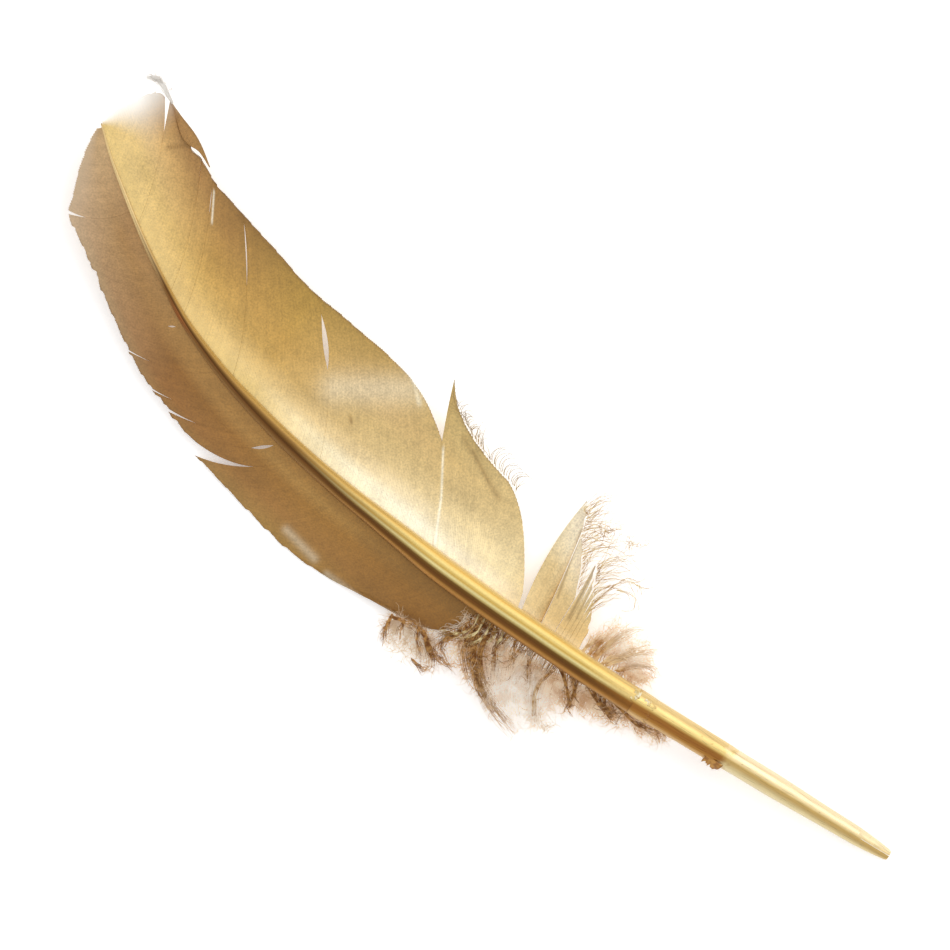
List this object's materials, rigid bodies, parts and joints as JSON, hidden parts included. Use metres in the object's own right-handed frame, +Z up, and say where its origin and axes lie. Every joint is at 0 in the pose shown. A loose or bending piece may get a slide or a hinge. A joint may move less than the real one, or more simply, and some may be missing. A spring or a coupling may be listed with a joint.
{
  "type": "quill pen",
  "caption": "Gold-painted wing feather used as a pen: bare hollow barrel with a cut nib, tapered shaft, broad split vane on one side, narrow vane and down on the other.",
  "frame": {"origin": "on the table, under the writing point", "axes": "+X along the barrel towards the writing point, +Y towards the wide vane, +Z up from the table, with the hollow side of the feather upwards"},
  "size_m": [0.2751, 0.0917, 0.0152],
  "materials": {
    "barrel_keratin": "satin gold paint over horn, nearly worn through to the pale barrel",
    "dried_membrane": "dry, thin, translucent",
    "sheath": "dry and flaky, painted gold",
    "shaft_keratin": "glossy gold paint over smooth horn",
    "pith": "matt white foam",
    "wide_vane": "gold mica paint over hooked barbs",
    "narrow_vane": "gold mica paint over hooked barbs, brown where it is thin",
    "down": "soft pale down with some brown, painted strands"
  },
  "bodies": {
    "root": {"barrel": "barrel_keratin", "umbilicus_plug": "dried_membrane", "pulp_caps": "dried_membrane", "sheath_collar": "sheath", "sheath_flake": "sheath", "rachis_cortex": "shaft_keratin", "pith_core": "pith", "wide_web_tip": "wide_vane", "wide_web_upper": "wide_vane", "wide_web_middle": "wide_vane", "wide_web_lower": "wide_vane", "wide_web_base": "wide_vane", "narrow_web_tip": "narrow_vane", "narrow_web_middle": "narrow_vane", "narrow_web_base": "narrow_vane", "loose_barbs": "narrow_vane", "down_wide": "down", "down_clump": "down", "down_fan": "down", "down_middle": "down", "down_end": "down", "down_small": "down", "down_last": "down"},
    "pointed_lobe": {"pointed_lobe": "wide_vane"},
    "ragged_lobe_a": {"ragged_lobe_a": "wide_vane"},
    "ragged_lobe_b": {"ragged_lobe_b": "wide_vane"},
    "ragged_strip": {"ragged_strip": "wide_vane"}
  },
  "joints": [
    {"name": "pointed_lobe_flex", "type": "hinge", "parent": "root", "child": "pointed_lobe", "pos_m": [-0.1296, 0.00455, 0.00762], "axis": [0.9985, -0.0536, 0.0097], "range_deg": [-6, 25], "stiffness_Nm_per_rad": 0.0006},
    {"name": "ragged_lobe_a_flex", "type": "hinge", "parent": "root", "child": "ragged_lobe_a", "pos_m": [-0.11235, 0.00372, 0.00775], "axis": [0.9995, -0.0303, -0.0013], "range_deg": [-6, 25], "stiffness_Nm_per_rad": 0.0002},
    {"name": "ragged_lobe_b_flex", "type": "hinge", "parent": "root", "child": "ragged_lobe_b", "pos_m": [-0.10695, 0.00354, 0.0077], "axis": [0.9992, -0.035, -0.0175], "range_deg": [-6, 25], "stiffness_Nm_per_rad": 0.00015},
    {"name": "ragged_strip_flex", "type": "hinge", "parent": "root", "child": "ragged_strip", "pos_m": [-0.1007, 0.00334, 0.00757], "axis": [0.9992, -0.031, -0.0235], "range_deg": [-6, 25], "stiffness_Nm_per_rad": 0.00015}
  ]
}
